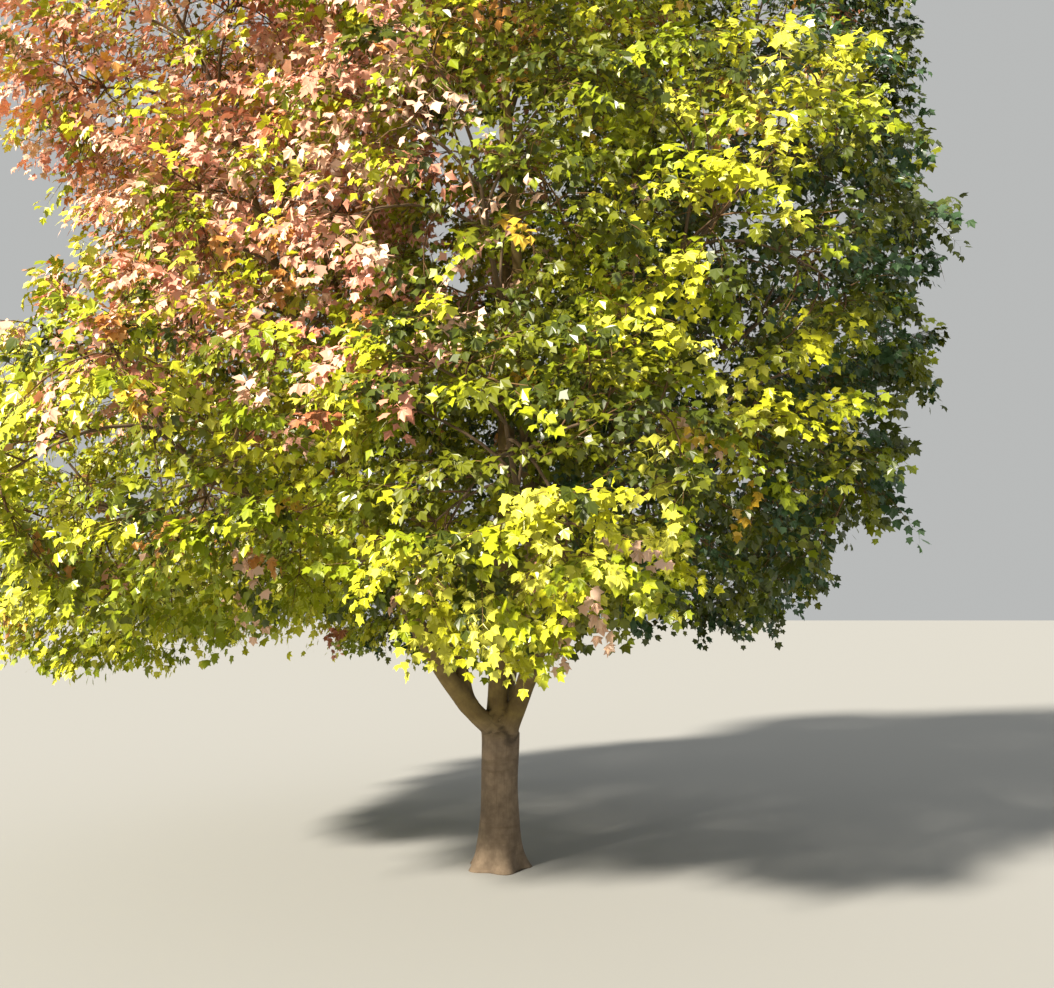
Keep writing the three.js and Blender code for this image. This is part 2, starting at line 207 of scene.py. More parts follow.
stems = {}
for name in sorted(OUTER_STEMS, key=lambda name: OUTER_STEMS[name][-1] is not None):
    height, offset, swing, lean, rise, radius, parts_from = OUTER_STEMS[name]
    mass = tier_masses("upper")[list(OUTER_STEMS).index(name)]
    start = (TRUNK_LEAN, 0, height) + offset * outward(mass["azimuth"] + swing)
    if parts_from:
        start = at_height(stems[parts_from]["control"], height)
    bend = start + rise * np.tan(np.radians(lean)) * outward(mass["azimuth"]) + (0, 0, rise)
    stems[name] = {"node": f"stem_{name}", "mass": mass, "radius": radius, "parent": None,
                   "control": np.array([start, bend, entrance(start, mass)])}
height, offset, swing, drift, radius = LEADER
crown_tip = tier_masses("tip")[0]
start = (TRUNK_LEAN, 0, height) + offset * outward(crown_tip["azimuth"] + swing)
bend = np.array([drift, drift, (height + crown_tip["centre"][2]) / 2])
leader = {"node": "stem_leader", "mass": crown_tip, "radius": radius, "parent": None,
          "control": np.array([start, bend, entrance(start, crown_tip)])}
outer_stems = [stems[name] for name in OUTER_STEMS]
limbs = [*outer_stems, leader]
stems = list(limbs)


def turn_between(a, b):
    """The smaller angle between two azimuths, in degrees."""
    return abs((a - b + 180) % 360 - 180)


for tier in ("low", "middle", "top"):
    for mass in tier_masses(tier):
        near = min(outer_stems, key=lambda stem: turn_between(stem["mass"]["azimuth"], mass["azimuth"]))
        stem = leader if tier == "top" else near
        height = BOUGH_HEIGHT[tier] + BOUGH_STEP * (mass["k"] % 2)
        start = at_height(stem["control"], height)
        end = entrance(start, mass)
        bend = start + BOUGH_BEND * (end - start)
        bend[2] = start[2] + BOUGH_RISE * (end[2] - start[2])
        limbs.append({"node": f"bough_{tier}_{mass['k'] + 1}", "mass": mass, "radius": BOUGH_RADIUS[tier],
                      "parent": stem, "control": np.array([start, bend, end])})
for limb in limbs:
    limb["mass"]["limb"] = limb

# Bark of the trunk, stems and boughs: living wood under smooth grey-brown bark, all one skin. It spreads in a
# root flare at the ground, swells where limbs part, and is drawn into level wrinkles under each fork.
TRUNK_RADIUS = 0.125
FLARE_RADIUS = 0.2
FLARE_HEIGHT = 0.13
ROOT_LOBES = 5
LOBE_DEPTH = 0.13
TRUNK_TOP = 0.97
# The last share of the trunk's height closes in a dome inside the fork
DOME_SHARE = 0.1
SWELL_STEPS = 9
MOST_SWELL = 0.07
SEAM_WIDTH = 0.007
BARK_MESH = {"trunk": (72, 110), "stem": (28, 190), "bough": (16, 56)}  # sides, rings
# How far on in its pattern the bark of each next limb begins
NEXT_BARK = 7.3


def frames_along(lines):
    """Two directions across each point of many lines (n, k, 3): side = reference x way, and way x side."""
    ways = unit(np.gradient(lines, axis=1))
    upright = np.abs(ways.mean(1, keepdims=True)[..., 2:]) > 0.7
    reference = np.where(upright, (1.0, 0.0, 0.0), (0.0, 0.0, 1.0))
    sides = unit(np.cross(reference, ways))
    return sides, np.cross(ways, sides)


def round_rings(lines, sides):
    """Unit vectors round each point of many lines: cos(a) side + sin(a) across, for even angles a."""
    side, across = frames_along(lines)
    angles = np.linspace(0, 2 * np.pi, sides, endpoint=False)[:, None]
    return np.cos(angles) * side[:, :, None] + np.sin(angles) * across[:, :, None]


def tube_faces(rings, sides):
    """Triangles of a tube of rings that closes in one last point, with a cap on its first ring."""
    ring, side = np.meshgrid(np.arange(rings - 1), np.arange(sides), indexing="ij")
    a = ring * sides + side
    b = ring * sides + (side + 1) % sides
    walls = np.stack([a, b, b + sides, a, b + sides, a + sides], -1).reshape(-1, 3)
    last = (rings - 1) * sides + np.arange(sides)
    tip = np.stack([last, np.roll(last, -1), np.full(sides, rings * sides)], -1)
    foot = np.arange(1, sides - 1)
    cap = np.stack([np.zeros_like(foot), foot + 1, foot], -1)
    return np.concatenate([walls, tip, cap])


def piece_from(name, points, faces, smooth):
    """A mesh object at the origin from arrays of points and triangles."""
    mesh = bpy.data.meshes.new(name)
    mesh.vertices.add(len(points))
    mesh.vertices.foreach_set("co", np.asarray(points, np.float32).ravel())
    mesh.loops.add(faces.size)
    mesh.loops.foreach_set("vertex_index", faces.astype(np.int32).ravel())
    mesh.polygons.add(len(faces))
    mesh.polygons.foreach_set("loop_start", np.arange(0, faces.size, 3, dtype=np.int32))
    mesh.polygons.foreach_set("use_smooth", np.full(len(faces), smooth))
    mesh.update(calc_edges=True)
    piece = bpy.data.objects.new(name, mesh)
    bpy.context.scene.collection.objects.link(piece)
    return piece


def taper(root, tip, shares):
    """Radius along a limb: tip + (root - tip) (1 - share)^0.8."""
    return tip + (root - tip) * (1 - shares) ** 0.8


def distance_to(limb, points):
    """Distance from points to a limb's surface: the least, over its short straight lengths, of the distance
    to the centreline less the radius there."""
    a, b = limb["line"][:-1], limb["line"][1:]
    run = b - a
    share = ((points[:, None] - a) * run).sum(-1) / (run**2).sum(-1)
    share = np.clip(share, 0, 1)[..., None]
    away = np.linalg.norm(points[:, None] - a - share * run, axis=-1)
    radius = limb["radii"][:-1] + share[..., 0] * (limb["radii"][1:] - limb["radii"][:-1])
    return (away - radius).min(1)


def swell(points, ways, others):
    """Moves points out along their ways to the surface that blends their limb with the others, where
    sum(exp(-distance / k)) is one. k is 14 mm at the fork of the trunk and 9 mm in the crown. Also gives
    exp(-(difference / 7 mm)^2) of the two least distances, which is one on the seam between two limbs."""
    k = 0.009 + 0.005 * np.clip((1.7 - points[:, 2]) / 0.5, 0, 1)
    out = np.zeros(len(points))
    for _ in range(SWELL_STEPS):
        moved = points + out[:, None] * ways
        total = np.exp(-out / k) + sum(np.exp(np.clip(-distance_to(o, moved) / k, -60, 60)) for o in others)
        out = np.clip(out + k * np.log(total), 0, MOST_SWELL)
    moved = points + out[:, None] * ways
    near = np.sort([out, *(distance_to(o, moved) for o in others)], axis=0)
    return moved, np.exp(-(((near[1] - near[0]) / SEAM_WIDTH) ** 2))


trunk = {"node": "trunk", "mass": None, "parent": None}
trunk["line"] = np.array([[0.001, 0, 0.1], [0.009, 0, 0.84]])
trunk["radii"] = np.array([TRUNK_RADIUS, TRUNK_RADIUS * 0.98])
for limb in limbs:
    shares = np.linspace(0, 1, 29 if limb["parent"] is None else 13)
    limb["line"] = on_curve(limb["control"], shares)
    limb["radii"] = taper(limb["radius"], LIMB_TIP_RADIUS, shares)

bark_points, bark_faces, bark_places, bark_seams = [], [], [], []
for number, limb in enumerate([trunk, *limbs]):
    if limb is trunk:
        sides, ring_count = BARK_MESH["trunk"]
        shares = np.linspace(0, 1, ring_count)
        height = TRUNK_TOP * shares
        line = np.stack([TRUNK_LEAN * height / LEAN_HEIGHT, 0 * height, height], -1)
        angles = np.linspace(0, 2 * np.pi, sides, endpoint=False)
        flare = np.exp(-height / FLARE_HEIGHT)[:, None]
        lobes = 1 + LOBE_DEPTH * flare * np.cos(ROOT_LOBES * angles)
        radii = (TRUNK_RADIUS + (FLARE_RADIUS - TRUNK_RADIUS) * flare) * lobes
        radii = radii * np.sqrt(np.clip((1 - shares) / DOME_SHARE, 0, 1))[:, None]
        ring = np.stack([np.cos(angles), np.sin(angles), 0 * angles], -1)
        rings = ring[None] * np.ones((ring_count, 1, 1))
        others = stems
    else:
        is_stem = limb["parent"] is None
        sides, ring_count = BARK_MESH["stem" if is_stem else "bough"]
        shares = np.linspace(0, 1, ring_count)
        line = on_curve(limb["control"], shares)
        radii = taper(limb["radius"], LIMB_TIP_RADIUS, shares)[:, None] * np.ones(sides)
        rings = round_rings(line[None], sides)[0]
        others = [trunk] + [stem for stem in stems if stem is not limb]
        if is_stem:
            others += [bough for bough in limbs if bough["parent"] is limb]
        else:
            others = [o for o in limbs if o is not limb and limb["parent"] in (o, o["parent"])]
    run = np.concatenate([[0], np.cumsum(np.linalg.norm(np.diff(line, axis=0), axis=1))])
    turn = np.linspace(0, 2 * np.pi, sides, endpoint=False)
    # Two slow waves round and along the limb leave it a little lumpy
    lumps = 0.022 * np.sin(2 * turn + 9 * run[:, None] + number)
    lumps += 0.016 * np.sin(3 * turn - 14 * run[:, None])
    radii = radii * (1 + lumps)
    points = (line[:, None] + rings * radii[..., None]).reshape(-1, 3)
    points, seams = swell(points, rings.reshape(-1, 3), others)
    points = points.reshape(len(line), sides, 3)
    points[:, :, 2] = np.maximum(points[:, :, 2], 0)
    along = run + NEXT_BARK * number
    place = np.stack([radii * np.cos(turn), radii * np.sin(turn), np.repeat(along[:, None], sides, 1)], -1)
    first = sum(len(p) for p in bark_points)
    bark_faces.append(tube_faces(len(line) - 1, sides) + first)
    bark_points.append(np.concatenate([points[:-1].reshape(-1, 3), line[-1:]]))
    bark_places.append(np.concatenate([place[:-1].reshape(-1, 3), [[0, 0, along[-1]]]]))
    bark_seams.append(np.concatenate([seams[:-sides], [0]]))
bark = piece_from("bark_skin", np.concatenate(bark_points), np.concatenate(bark_faces), True)
around = bark.data.attributes.new("bark_place", "FLOAT_VECTOR", "POINT")
around.data.foreach_set("vector", np.concatenate(bark_places).astype(np.float32).ravel())
seam = bark.data.attributes.new("bark_seam", "FLOAT", "POINT")
seam.data.foreach_set("value", np.concatenate(bark_seams).astype(np.float32))


def linear(hex_colour):
    """An sRGB hex colour as linear RGBA: (c / 12.92) under 0.04045, and ((c + 0.055) / 1.055)^2.4 above."""
    c = np.array([int(hex_colour[i:i + 2], 16) / 255 for i in (1, 3, 5)])
    return (*np.where(c <= 0.04045, c / 12.92, ((c + 0.055) / 1.055) ** 2.4), 1.0)


def add_node(tree, kind, inputs=(), **settings):
    """Adds a node with its settings, and sets each input to a value or links it to another node's output."""
    made = tree.nodes.new(kind)
    for name, value in settings.items():
        setattr(made, name, value)
    for name, value in dict(inputs).items():
        if isinstance(value, bpy.types.NodeSocket):
            tree.links.new(value, made.inputs[name])
        else:
            made.inputs[name].default_value = value
    return made


def new_finish(name):
    """An empty material, its node tree and its output node."""
    finish = bpy.data.materials.new(name)
    finish.use_nodes = True
    finish.node_tree.nodes.clear()
    return finish, finish.node_tree, add_node(finish.node_tree, "ShaderNodeOutputMaterial")


def plain_finish(name, colour, roughness):
    """A material of one colour and one roughness."""
    finish, tree, output = new_finish(name)
    surface = add_node(tree, "ShaderNodeBsdfPrincipled",
                       {"Base Color": linear(colour), "Roughness": roughness})
    tree.links.new(surface.outputs[0], output.inputs[0])
    return finish


def mixed(share, first, second):
    """The bark's colour, from the first to the second as share goes from 0 to 1."""
    made = add_node(tree, "ShaderNodeMix", {0: share, 6: first, 7: second}, data_type="RGBA")
    return made.outputs[2]


def stretched(value, low, high, at_low=0, at_high=1):
    """The value stretched so that low becomes at_low and high becomes at_high, and held there beyond."""
    made = add_node(tree, "ShaderNodeMapRange", {"Value": value, "From Min": low, "From Max": high,
                                                 "To Min": at_low, "To Max": at_high})
    return made.outputs[0]


# Young maple bark, grown and not worked: smooth, matt and grey-brown, with fine upright cracks, faint level
# wrinkles, paler corky patches and darker along the seam where two limbs meet in each fork. On the stems and
# boughs above the fork it turns olive, a painted reflection of the yellow-green light from the leaves. The
# cracks and wrinkles are drawn at twice their size so that they show.
maple_bark, tree, output = new_finish("young_maple_bark")
place = add_node(tree, "ShaderNodeAttribute", attribute_name="bark_place").outputs["Vector"]
level = add_node(tree, "ShaderNodeMapping", {"Vector": place, "Scale": (5, 5, 48)}).outputs[0]
upright = add_node(tree, "ShaderNodeMapping", {"Vector": place, "Scale": (95, 95, 6)}).outputs[0]
wrinkles = add_node(tree, "ShaderNodeTexNoise", {"Vector": level, "Scale": 1, "Detail": 2, "Distortion": 0.6})
cracks = add_node(tree, "ShaderNodeTexNoise", {"Vector": upright, "Scale": 1, "Detail": 3})
patches = add_node(tree, "ShaderNodeTexNoise", {"Vector": place, "Scale": 13, "Detail": 5, "Roughness": 0.6})
corners = add_node(tree, "ShaderNodeTexCoord").outputs["Object"]
height = add_node(tree, "ShaderNodeSeparateXYZ", {"Vector": corners}).outputs["Z"]
# Painted reflection: from 0.82 m to 1 m up the bark turns olive, as if lit by the yellow-green light of the
# leaves
leaf_light_share = stretched(height, 0.82, 1.0)
mottle = stretched(patches.outputs[0], 0.36, 0.66)
grey = mixed(mottle, linear("#695947"), linear("#8a7863"))
olive = mixed(mottle, linear("#66532b"), linear("#826f3f"))
ground = mixed(leaf_light_share, grey, olive)
crease = stretched(wrinkles.outputs[0], 0.28, 0.42, 0.3, 0)
creased = mixed(crease, ground, linear("#57472f"))
streak = stretched(cracks.outputs[0], 0.36, 0.5, 0.25, 0)
toned = mixed(streak, creased, linear("#5c4c3a"))
# Darker along the seam where two limbs meet, and sunk a little in the bump
limb_seam = add_node(tree, "ShaderNodeAttribute", attribute_name="bark_seam").outputs["Fac"]
dark = add_node(tree, "ShaderNodeMath", {0: limb_seam, 1: 0.75}, operation="MULTIPLY")
seamed = mixed(dark.outputs[0], toned, linear("#2e2517"))
depth = add_node(tree, "ShaderNodeMath", {0: wrinkles.outputs[0], 1: cracks.outputs[0]}, operation="ADD")
cut = add_node(tree, "ShaderNodeMath", {0: depth.outputs[0], 1: limb_seam}, operation="SUBTRACT")
relief = add_node(tree, "ShaderNodeBump", {"Height": cut.outputs[0], "Strength": 0.35, "Distance": 0.004})
matt = stretched(patches.outputs[0], 0.3, 0.7, 0.82, 0.95)
surface = add_node(tree, "ShaderNodeBsdfPrincipled",
                   {"Base Color": seamed, "Roughness": matt, "Normal": relief.outputs[0]})
tree.links.new(surface.outputs[0], output.inputs[0])
bark.data.materials.append(maple_bark)
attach(bark, "root")
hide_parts("trunk", *[limb["node"] for limb in limbs])

# Twigs: the stem of each mass grows on from its bough, parts into limbs, these into leafy shoots, and the
# shoots into sprays, all in opposite pairs as on every maple. They bend down under their leaves.
SHOOT_COUNT = 1900
SHORTEST_SHOOT = 0.16
LIMBS_PER_MASS = 8
TWIG_SEED = 58
rng = np.random.default_rng(TWIG_SEED)


def curve_points(start, bend, end, shares):
    """Points of many curves at shares t: (1-t)^2 start + 2t(1-t) bend + t^2 end."""
    t = np.asarray(shares, float)[:, None]
    return (1 - t) ** 2 * start[:, None] + 2 * t * (1 - t) * bend[:, None] + t**2 * end[:, None]


def curve_ways(start, bend, end, shares):
    """Directions of many curves at shares t: (1-t)(bend - start) + t(end - bend), at unit length."""
    t = np.asarray(shares, float)[:, None]
    return unit((1 - t) * (bend - start)[:, None] + t * (end - bend)[:, None])


def bends_between(starts, ways, ends, share, follow, rise):
    """Where twigs bend: a share of their reach out, along unit(end - start) + follow * way + rise upwards."""
    reach = np.linalg.norm(ends - starts, axis=1, keepdims=True)
    return starts + share * reach * unit(unit(ends - starts) + follow * ways + (0, 0, rise))


def spread_evenly(cloud, count):
    """Points spread evenly through a cloud: each next one is the furthest from the rest, and then each is
    moved four times to the middle of the cloud's points nearest to it."""
    picks = [cloud[0]]
    gaps = np.linalg.norm(cloud - picks[0], axis=1)
    for _ in range(count - 1):
        picks.append(cloud[gaps.argmax()])
        gaps = np.minimum(gaps, np.linalg.norm(cloud - picks[-1], axis=1))
    picks = np.array(picks)
    for _ in range(4):
        near = np.linalg.norm(cloud[:, None] - picks, axis=-1).argmin(1)
        full = np.bincount(near, minlength=count)[:, None]
        sums = np.stack([np.bincount(near, cloud[:, axis], count) for axis in range(3)], -1)
        picks = np.where(full > 0, sums / np.maximum(full, 1), picks)
    return picks


# Where leaves stand: densest in the outer half metre, which is parted into clumps, and thin in the shade. The
# leading shoots reach furthest into the light. They and the dark hollows are named by the pixels where the
# photo shows them. Those beside and under the crown, where a ray would miss it, are places in metres.
EYE = np.array([0.19, -6.6, 1.7])
PITCH = np.radians(6.96)
PHOTO_SIZE = np.array([1054, 988])
FOCAL_PIXELS = 950
SHOOT_PIXELS = [(570, 520), (550, 610), (790, 400), (825, 355), (750, 440), (695, 515), (650, 295),
                (755, 145), (695, 205), (810, 40)]
HOLLOW_PIXELS = [(510, 390), (535, 140), (760, 555), (810, 275), (680, 400)]
LOWEST_SHOOT = np.array([[-0.1, -2.2, 1.55]])
EDGE_SHOOTS = np.array([[2.85, -0.7, 5.2], [2.85, -0.85, 4.3], [2.9, -0.6, 3.3]])
EDGE_HOLLOWS = np.array([[-0.8, -2, 1.45], [-1.5, -1.8, 1.45], [0.95, -1.8, 1.5], [1.5, -1.4, 1.55],
                         [2.65, -0.7, 4.75], [2.7, -0.7, 3.8], [2.65, -0.6, 2.8]])
FACE_DEPTH = 0.1
RAY_STEPS = np.linspace(2.5, 9, 650)
SHELF_HEIGHT = 0.88
SHELF_FALL = 0.35
CLUMP_DEPTH = 0.5
LEAST_INSIDE = 0.12
CLOUD_POINTS = 9000


def on_crown_face(pixels):
    """Where rays from the eye through the photo's pixels are first FACE_DEPTH deep in the crown, stepped 1 cm
    at a time. A camera pitched up by p sees a pixel along (side, cos p - up sin p, sin p + up cos p)."""
    side, up = ((np.array(pixels) - PHOTO_SIZE / 2) * (1, -1) / FOCAL_PIXELS).T
    ways = [side, np.cos(PITCH) - up * np.sin(PITCH), np.sin(PITCH) + up * np.cos(PITCH)]
    points = EYE + RAY_STEPS[:, None] * np.stack(ways, -1)[:, None]
    first = (depth_in_crown(points) > FACE_DEPTH).argmax(1)
    return points[np.arange(len(points)), first]


def bells(points, middles, radius):
    """The highest of exp(-(distance / radius)^2) over the middles."""
    return np.exp(-((np.linalg.norm(points[:, None] - middles, axis=-1) / radius) ** 2)).max(1)


def standing_out(points):
    """How far leaves stand out of the crown's face, from 0 in a hollow to 1 in a clump. Shelves fall away
    outwards, sin(2 pi (z + fall r + bends) / height) at r from the crown's axis, and slow waves about 1.7 m
    long part them into clumps, less so on the left. Shoots are bells added, and hollows bells taken away."""
    x, y, z = points.T
    bends = 0.2 * np.sin(3.3 * x + 0.9 * y + 1) + 0.2 * np.sin(3.0 * y - 0.8 * x)
    bends = 0.24 + bends * (1 - 0.75 * np.clip(x / 2, 0, 1))
    shelves = np.sin(2 * np.pi * (z + SHELF_FALL * np.hypot(x + 0.2, y) + bends) / SHELF_HEIGHT)
    waves = np.sin(3.7 * x + 1.2 * y) + np.sin(3.5 * z - 1.3 * x + 2) + np.sin(3.3 * y + 1.1 * z + 4)
    least = np.clip(-x - 0.2, 0, 1) * (0.35 + 0.6 * np.clip(z - 3, 0, 1))
    clumps = np.clip(0.4 + 0.75 * shelves + 0.4 * waves, least, 1)
    raised = 1.7 * bells(points, leading_shoots, 0.4)
    sunk = 1.4 * bells(points, hollows, 0.5)
    return np.clip(clumps + raised - sunk, 0, 1)


front_shoots = np.concatenate([on_crown_face(SHOOT_PIXELS), LOWEST_SHOOT])
front_hollows = on_crown_face(HOLLOW_PIXELS)
leading_shoots = np.concatenate([front_shoots, EDGE_SHOOTS])
hollows = np.concatenate([front_hollows, EDGE_HOLLOWS])
clouds = []
for m, mass in enumerate(masses):
    cloud = unit(rng.normal(size=(CLOUD_POINTS, 3))) * rng.uniform(0.2, 1, (CLOUD_POINTS, 1)) ** (1 / 3)
    cloud = cloud * halves[m] + centres[m]
    cloud = cloud[in_space(cloud, m)]
    depth = depth_in_crown(cloud)
    out = standing_out(cloud)
    lit = np.clip(1.4 - 1.4 * depth, LEAST_INSIDE, 1)
    wanted = lit * (out + (1 - out) * np.clip(depth / CLUMP_DEPTH, 0, 1) ** 1.5)
    clouds.append(cloud[rng.random(len(cloud)) < wanted])
total = sum(len(cloud) for cloud in clouds)

twig_sets = {"stem": [], "limb": [], "shoot": []}
shoot_mass = []
for m, (mass, cloud) in enumerate(zip(masses, clouds)):
    control = mass["limb"]["control"]
    way_in = unit(control[2] - control[1])
    root = control[2] - 0.01 * way_in
    bend = root + 0.25 * mass["size"] * way_in
    tip = mass["centre"] + 0.45 * (mass["centre"] - root)
    stem = np.array([[root, bend, tip]])
    twig_sets["stem"].append(stem)
    aims = spread_evenly(cloud, LIMBS_PER_MASS)
    aims = aims[((aims - root) @ way_in).argsort()]
    shares = np.linspace(0.06, 0.92, len(aims))
    starts = curve_points(*stem.transpose(1, 0, 2), shares)[0]
    ways = curve_ways(*stem.transpose(1, 0, 2), shares)[0]
    boughlets = np.stack([starts, bends_between(starts, ways, aims, 0.45, 0.55, 0.25), aims], 1)
    twig_sets["limb"].append(boughlets)
    shares = np.linspace(0.3, 1, 6)
    places = curve_points(*boughlets.transpose(1, 0, 2), shares).reshape(-1, 3)
    ways = curve_ways(*boughlets.transpose(1, 0, 2), shares).reshape(-1, 3)
    ends = spread_evenly(cloud, round(SHOOT_COUNT * len(cloud) / total))
    # A shoot leaves the nearest place, where one that points its way counts as nearer and one too near as far
    offset = ends[:, None] - places
    length = np.linalg.norm(offset, axis=-1)
    along = (unit(offset) * ways).sum(-1)
    chosen = (length * (1.5 - 0.5 * along) + np.where(length < SHORTEST_SHOOT, 0.5, 0)).argmin(1)
    starts, ways = places[chosen], ways[chosen]
    twig_sets["shoot"].append(np.stack([starts, bends_between(starts, ways, ends, 0.5, 0.6, 0.3), ends], 1))
    shoot_mass.append(np.full(len(ends), m))
twig_sets = {kind: np.concatenate(found) for kind, found in twig_sets.items()}
shoot_mass = np.concatenate(shoot_mass)

# Sprays leave a shoot in three opposite pairs, and one runs on from its end. They hang on low shoots. One
# that would leave the crown is cut back to its face, except there and where the leading shoots stand out.
SPRAY_SHARES = np.array([0.36, 0.36, 0.64, 0.64, 0.88, 0.88, 1.0])
SPRAY_HANDS = np.array([-1, 1, -1, 1, -1, 1, 0])
SPRAY_SWING = 52
SPRAY_LENGTH = 0.31
SPRAY_SHORTER = 0.07
BOX_SLACK = 0.015
shoots = twig_sets["shoot"].transpose(1, 0, 2)
starts = curve_points(*shoots, SPRAY_SHARES)
ways = curve_ways(*shoots, SPRAY_SHARES)
beside = unit(np.cross(ways, (0, 0, 1.0)) + rng.normal(0, 0.18, starts.shape))
swing = np.radians(SPRAY_SWING + rng.uniform(-14, 14, starts.shape[:2]))[..., None]
swing = np.where(SPRAY_HANDS[:, None] == 0, 0, swing)
lowest = np.clip((2.0 - starts[..., [2]]) / 0.3, 0, 1) * np.exp(-((starts[..., [0]] - 0.1) ** 2))
heading = unit(ways * np.cos(swing) + SPRAY_HANDS[:, None] * beside * np.sin(swing)
               + rng.normal(0, 0.12, starts.shape) - (0, 0, 0.7) * lowest)
length = (SPRAY_LENGTH - SPRAY_SHORTER * SPRAY_SHARES) * rng.uniform(0.8, 1.2, starts.shape[:2])
tips = starts + heading * length[..., None]
inner, outer = depth_in_crown(starts), depth_in_crown(tips + heading * 0.1)
fit = np.clip((inner - 0.02) / np.maximum(inner - outer, 1e-3), 0.4, 1)
held = (outer < 0.02) & (lowest[..., 0] < 0.5)
held &= standing_out(starts.reshape(-1, 3)).reshape(held.shape) < 0.9
length = np.where(held, length * fit, length)[..., None]
low, high = np.array(solid_box[0]), np.array(solid_box[1])
slack = BOX_SLACK * (high - low)
tips = starts + heading * length - (0, 0, 1) * length * rng.uniform(0.1, 0.4, length.shape)
tips = np.clip(tips, low - slack, high + slack)
bends = np.clip(starts + 0.5 * heading * length, low - slack, high + slack)
sprays = np.stack([starts, bends, tips]).reshape(3, -1, 3)
spray_mass = np.repeat(shoot_mass, len(SPRAY_SHARES))
twig_sets["spray"] = sprays.transpose(1, 0, 2)

# Leaves: thin lobed blades on long stalks, a pair at each joint of a spray. Each blade turns its upper face
# to the sky and the light, its tip hangs, and it is folded a little along its middle with its lobes bent
# down. Those that show have five lobes, and those deeper in the crown only their three main ones.
LEAF_LENGTH = 0.063
STALK_LENGTHS = (0.03, 0.065)
SHOWING_DEPTH = 0.18
FIVE_LOBES = np.array([[0.46, 0.08, -0.03], [0.38, 0.31, 0.03], [0.54, 0.64, -0.05], [0.28, 0.6, 0.04]])
THREE_LOBES = np.array([[0.55, 0.38, -0.04], [0.29, 0.5, 0.04]])
LEAF_PAIRS = np.array([0.14, 0.29, 0.43, 0.57, 0.72, 0.86, 1.0])
LIGHT = np.array([-0.45, -0.75, 0])
CROWN_HEART = np.array([-0.1, 0, 3.6])

leaf_shares = np.repeat(LEAF_PAIRS, 2)
joints = curve_points(*sprays, leaf_shares)
ways = curve_ways(*sprays, leaf_shares)
hands = np.tile([-1.0, 1.0], len(LEAF_PAIRS))[:, None]
beside = unit(np.cross(ways, (0, 0, 1.0)) + rng.normal(0, 0.35, (len(ways), 1, 3)))
lifted = np.cross(beside, ways)
crossed = np.repeat(np.arange(len(LEAF_PAIRS)) % 2, 2)[:, None]
aside = unit(beside * (1 - 0.45 * crossed) + lifted * 0.75 * crossed)
stalk_way = unit(0.75 * ways + hands * aside + rng.normal(0, 0.15, joints.shape))
bases = joints + stalk_way * rng.uniform(*STALK_LENGTHS, joints.shape[:2])[..., None] - (0, 0, 0.01)
away = unit((joints - CROWN_HEART) * (1, 1, 0.25))
hang = unit(0.55 * stalk_way + 0.3 * away - (0, 0, 0.72) + rng.normal(0, 0.32, joints.shape))
face = 0.3 * away + 0.65 * LIGHT + (0, 0, 0.65) + rng.normal(0, 0.32, joints.shape)
face += rng.normal(0, 0.22, (len(ways), 1, 3))
size = LEAF_LENGTH * rng.uniform(0.78, 1.2, joints.shape[:2]) * (1.05 - 0.2 * leaf_shares)
curl = rng.uniform(-0.4, 2.2, joints.shape[:2])
leaf_spray = np.repeat(np.arange(len(joints)), len(leaf_shares))
joints, bases, hang, face, stalk_way = [a.reshape(-1, 3) for a in (joints, bases, hang, face, stalk_way)]
size, curl = size.reshape(-1, 1), curl.reshape(-1, 1)
face = unit(face - (face * hang).sum(-1, keepdims=True) * hang)
across = np.cross(hang, face)
edge = 0.0015 * unit(np.cross(stalk_way, face))
leaf_depth = depth_in_crown(bases)
showing = leaf_depth < SHOWING_DEPTH

# Sprays in the shade have shed some of their leaves. A leaf that would pass the crown's box is left off.
spots = sprays[2]
spray_out = standing_out(spots)
shade = leaf_depth - 0.2 * (1 - spray_out[leaf_spray])
kept = rng.random(len(bases)) < np.clip(1.2 - 1.3 * shade, 0.32, 1)
kept &= (bases > low - slack + size).all(1) & (bases < high + slack - size).all(1)


def leaves_of(half_outline, chosen):
    """Points and triangles of chosen leaves. A point (u, v, w) of the outline lies at base + size (u across +
    v hang + w curl face). The blade is a fan from its base, and one thin triangle is the stalk."""
    outline = np.concatenate([[[0, 0, 0]], half_outline, [[0, 1, -0.08]], half_outline[::-1] * (-1, 1, 1)])
    u, v, w = outline.T[:, :, None]
    shape = u * across[chosen, None] + v * hang[chosen, None] + w * (curl * face)[chosen, None]
    feet = joints[chosen, None] + np.array([[-1], [1]]) * edge[chosen, None]
    points = np.concatenate([bases[chosen, None] + size[chosen, None] * shape, feet], 1)
    count = len(outline)
    fan = np.stack([np.zeros(count - 2, int), np.arange(1, count - 1), np.arange(2, count)], -1)
    each = np.concatenate([fan, [[count, count + 1, 0]]])
    steps = points.shape[1] * np.arange(len(points))[:, None, None]
    return points.reshape(-1, 3), (each + steps).reshape(-1, 3)


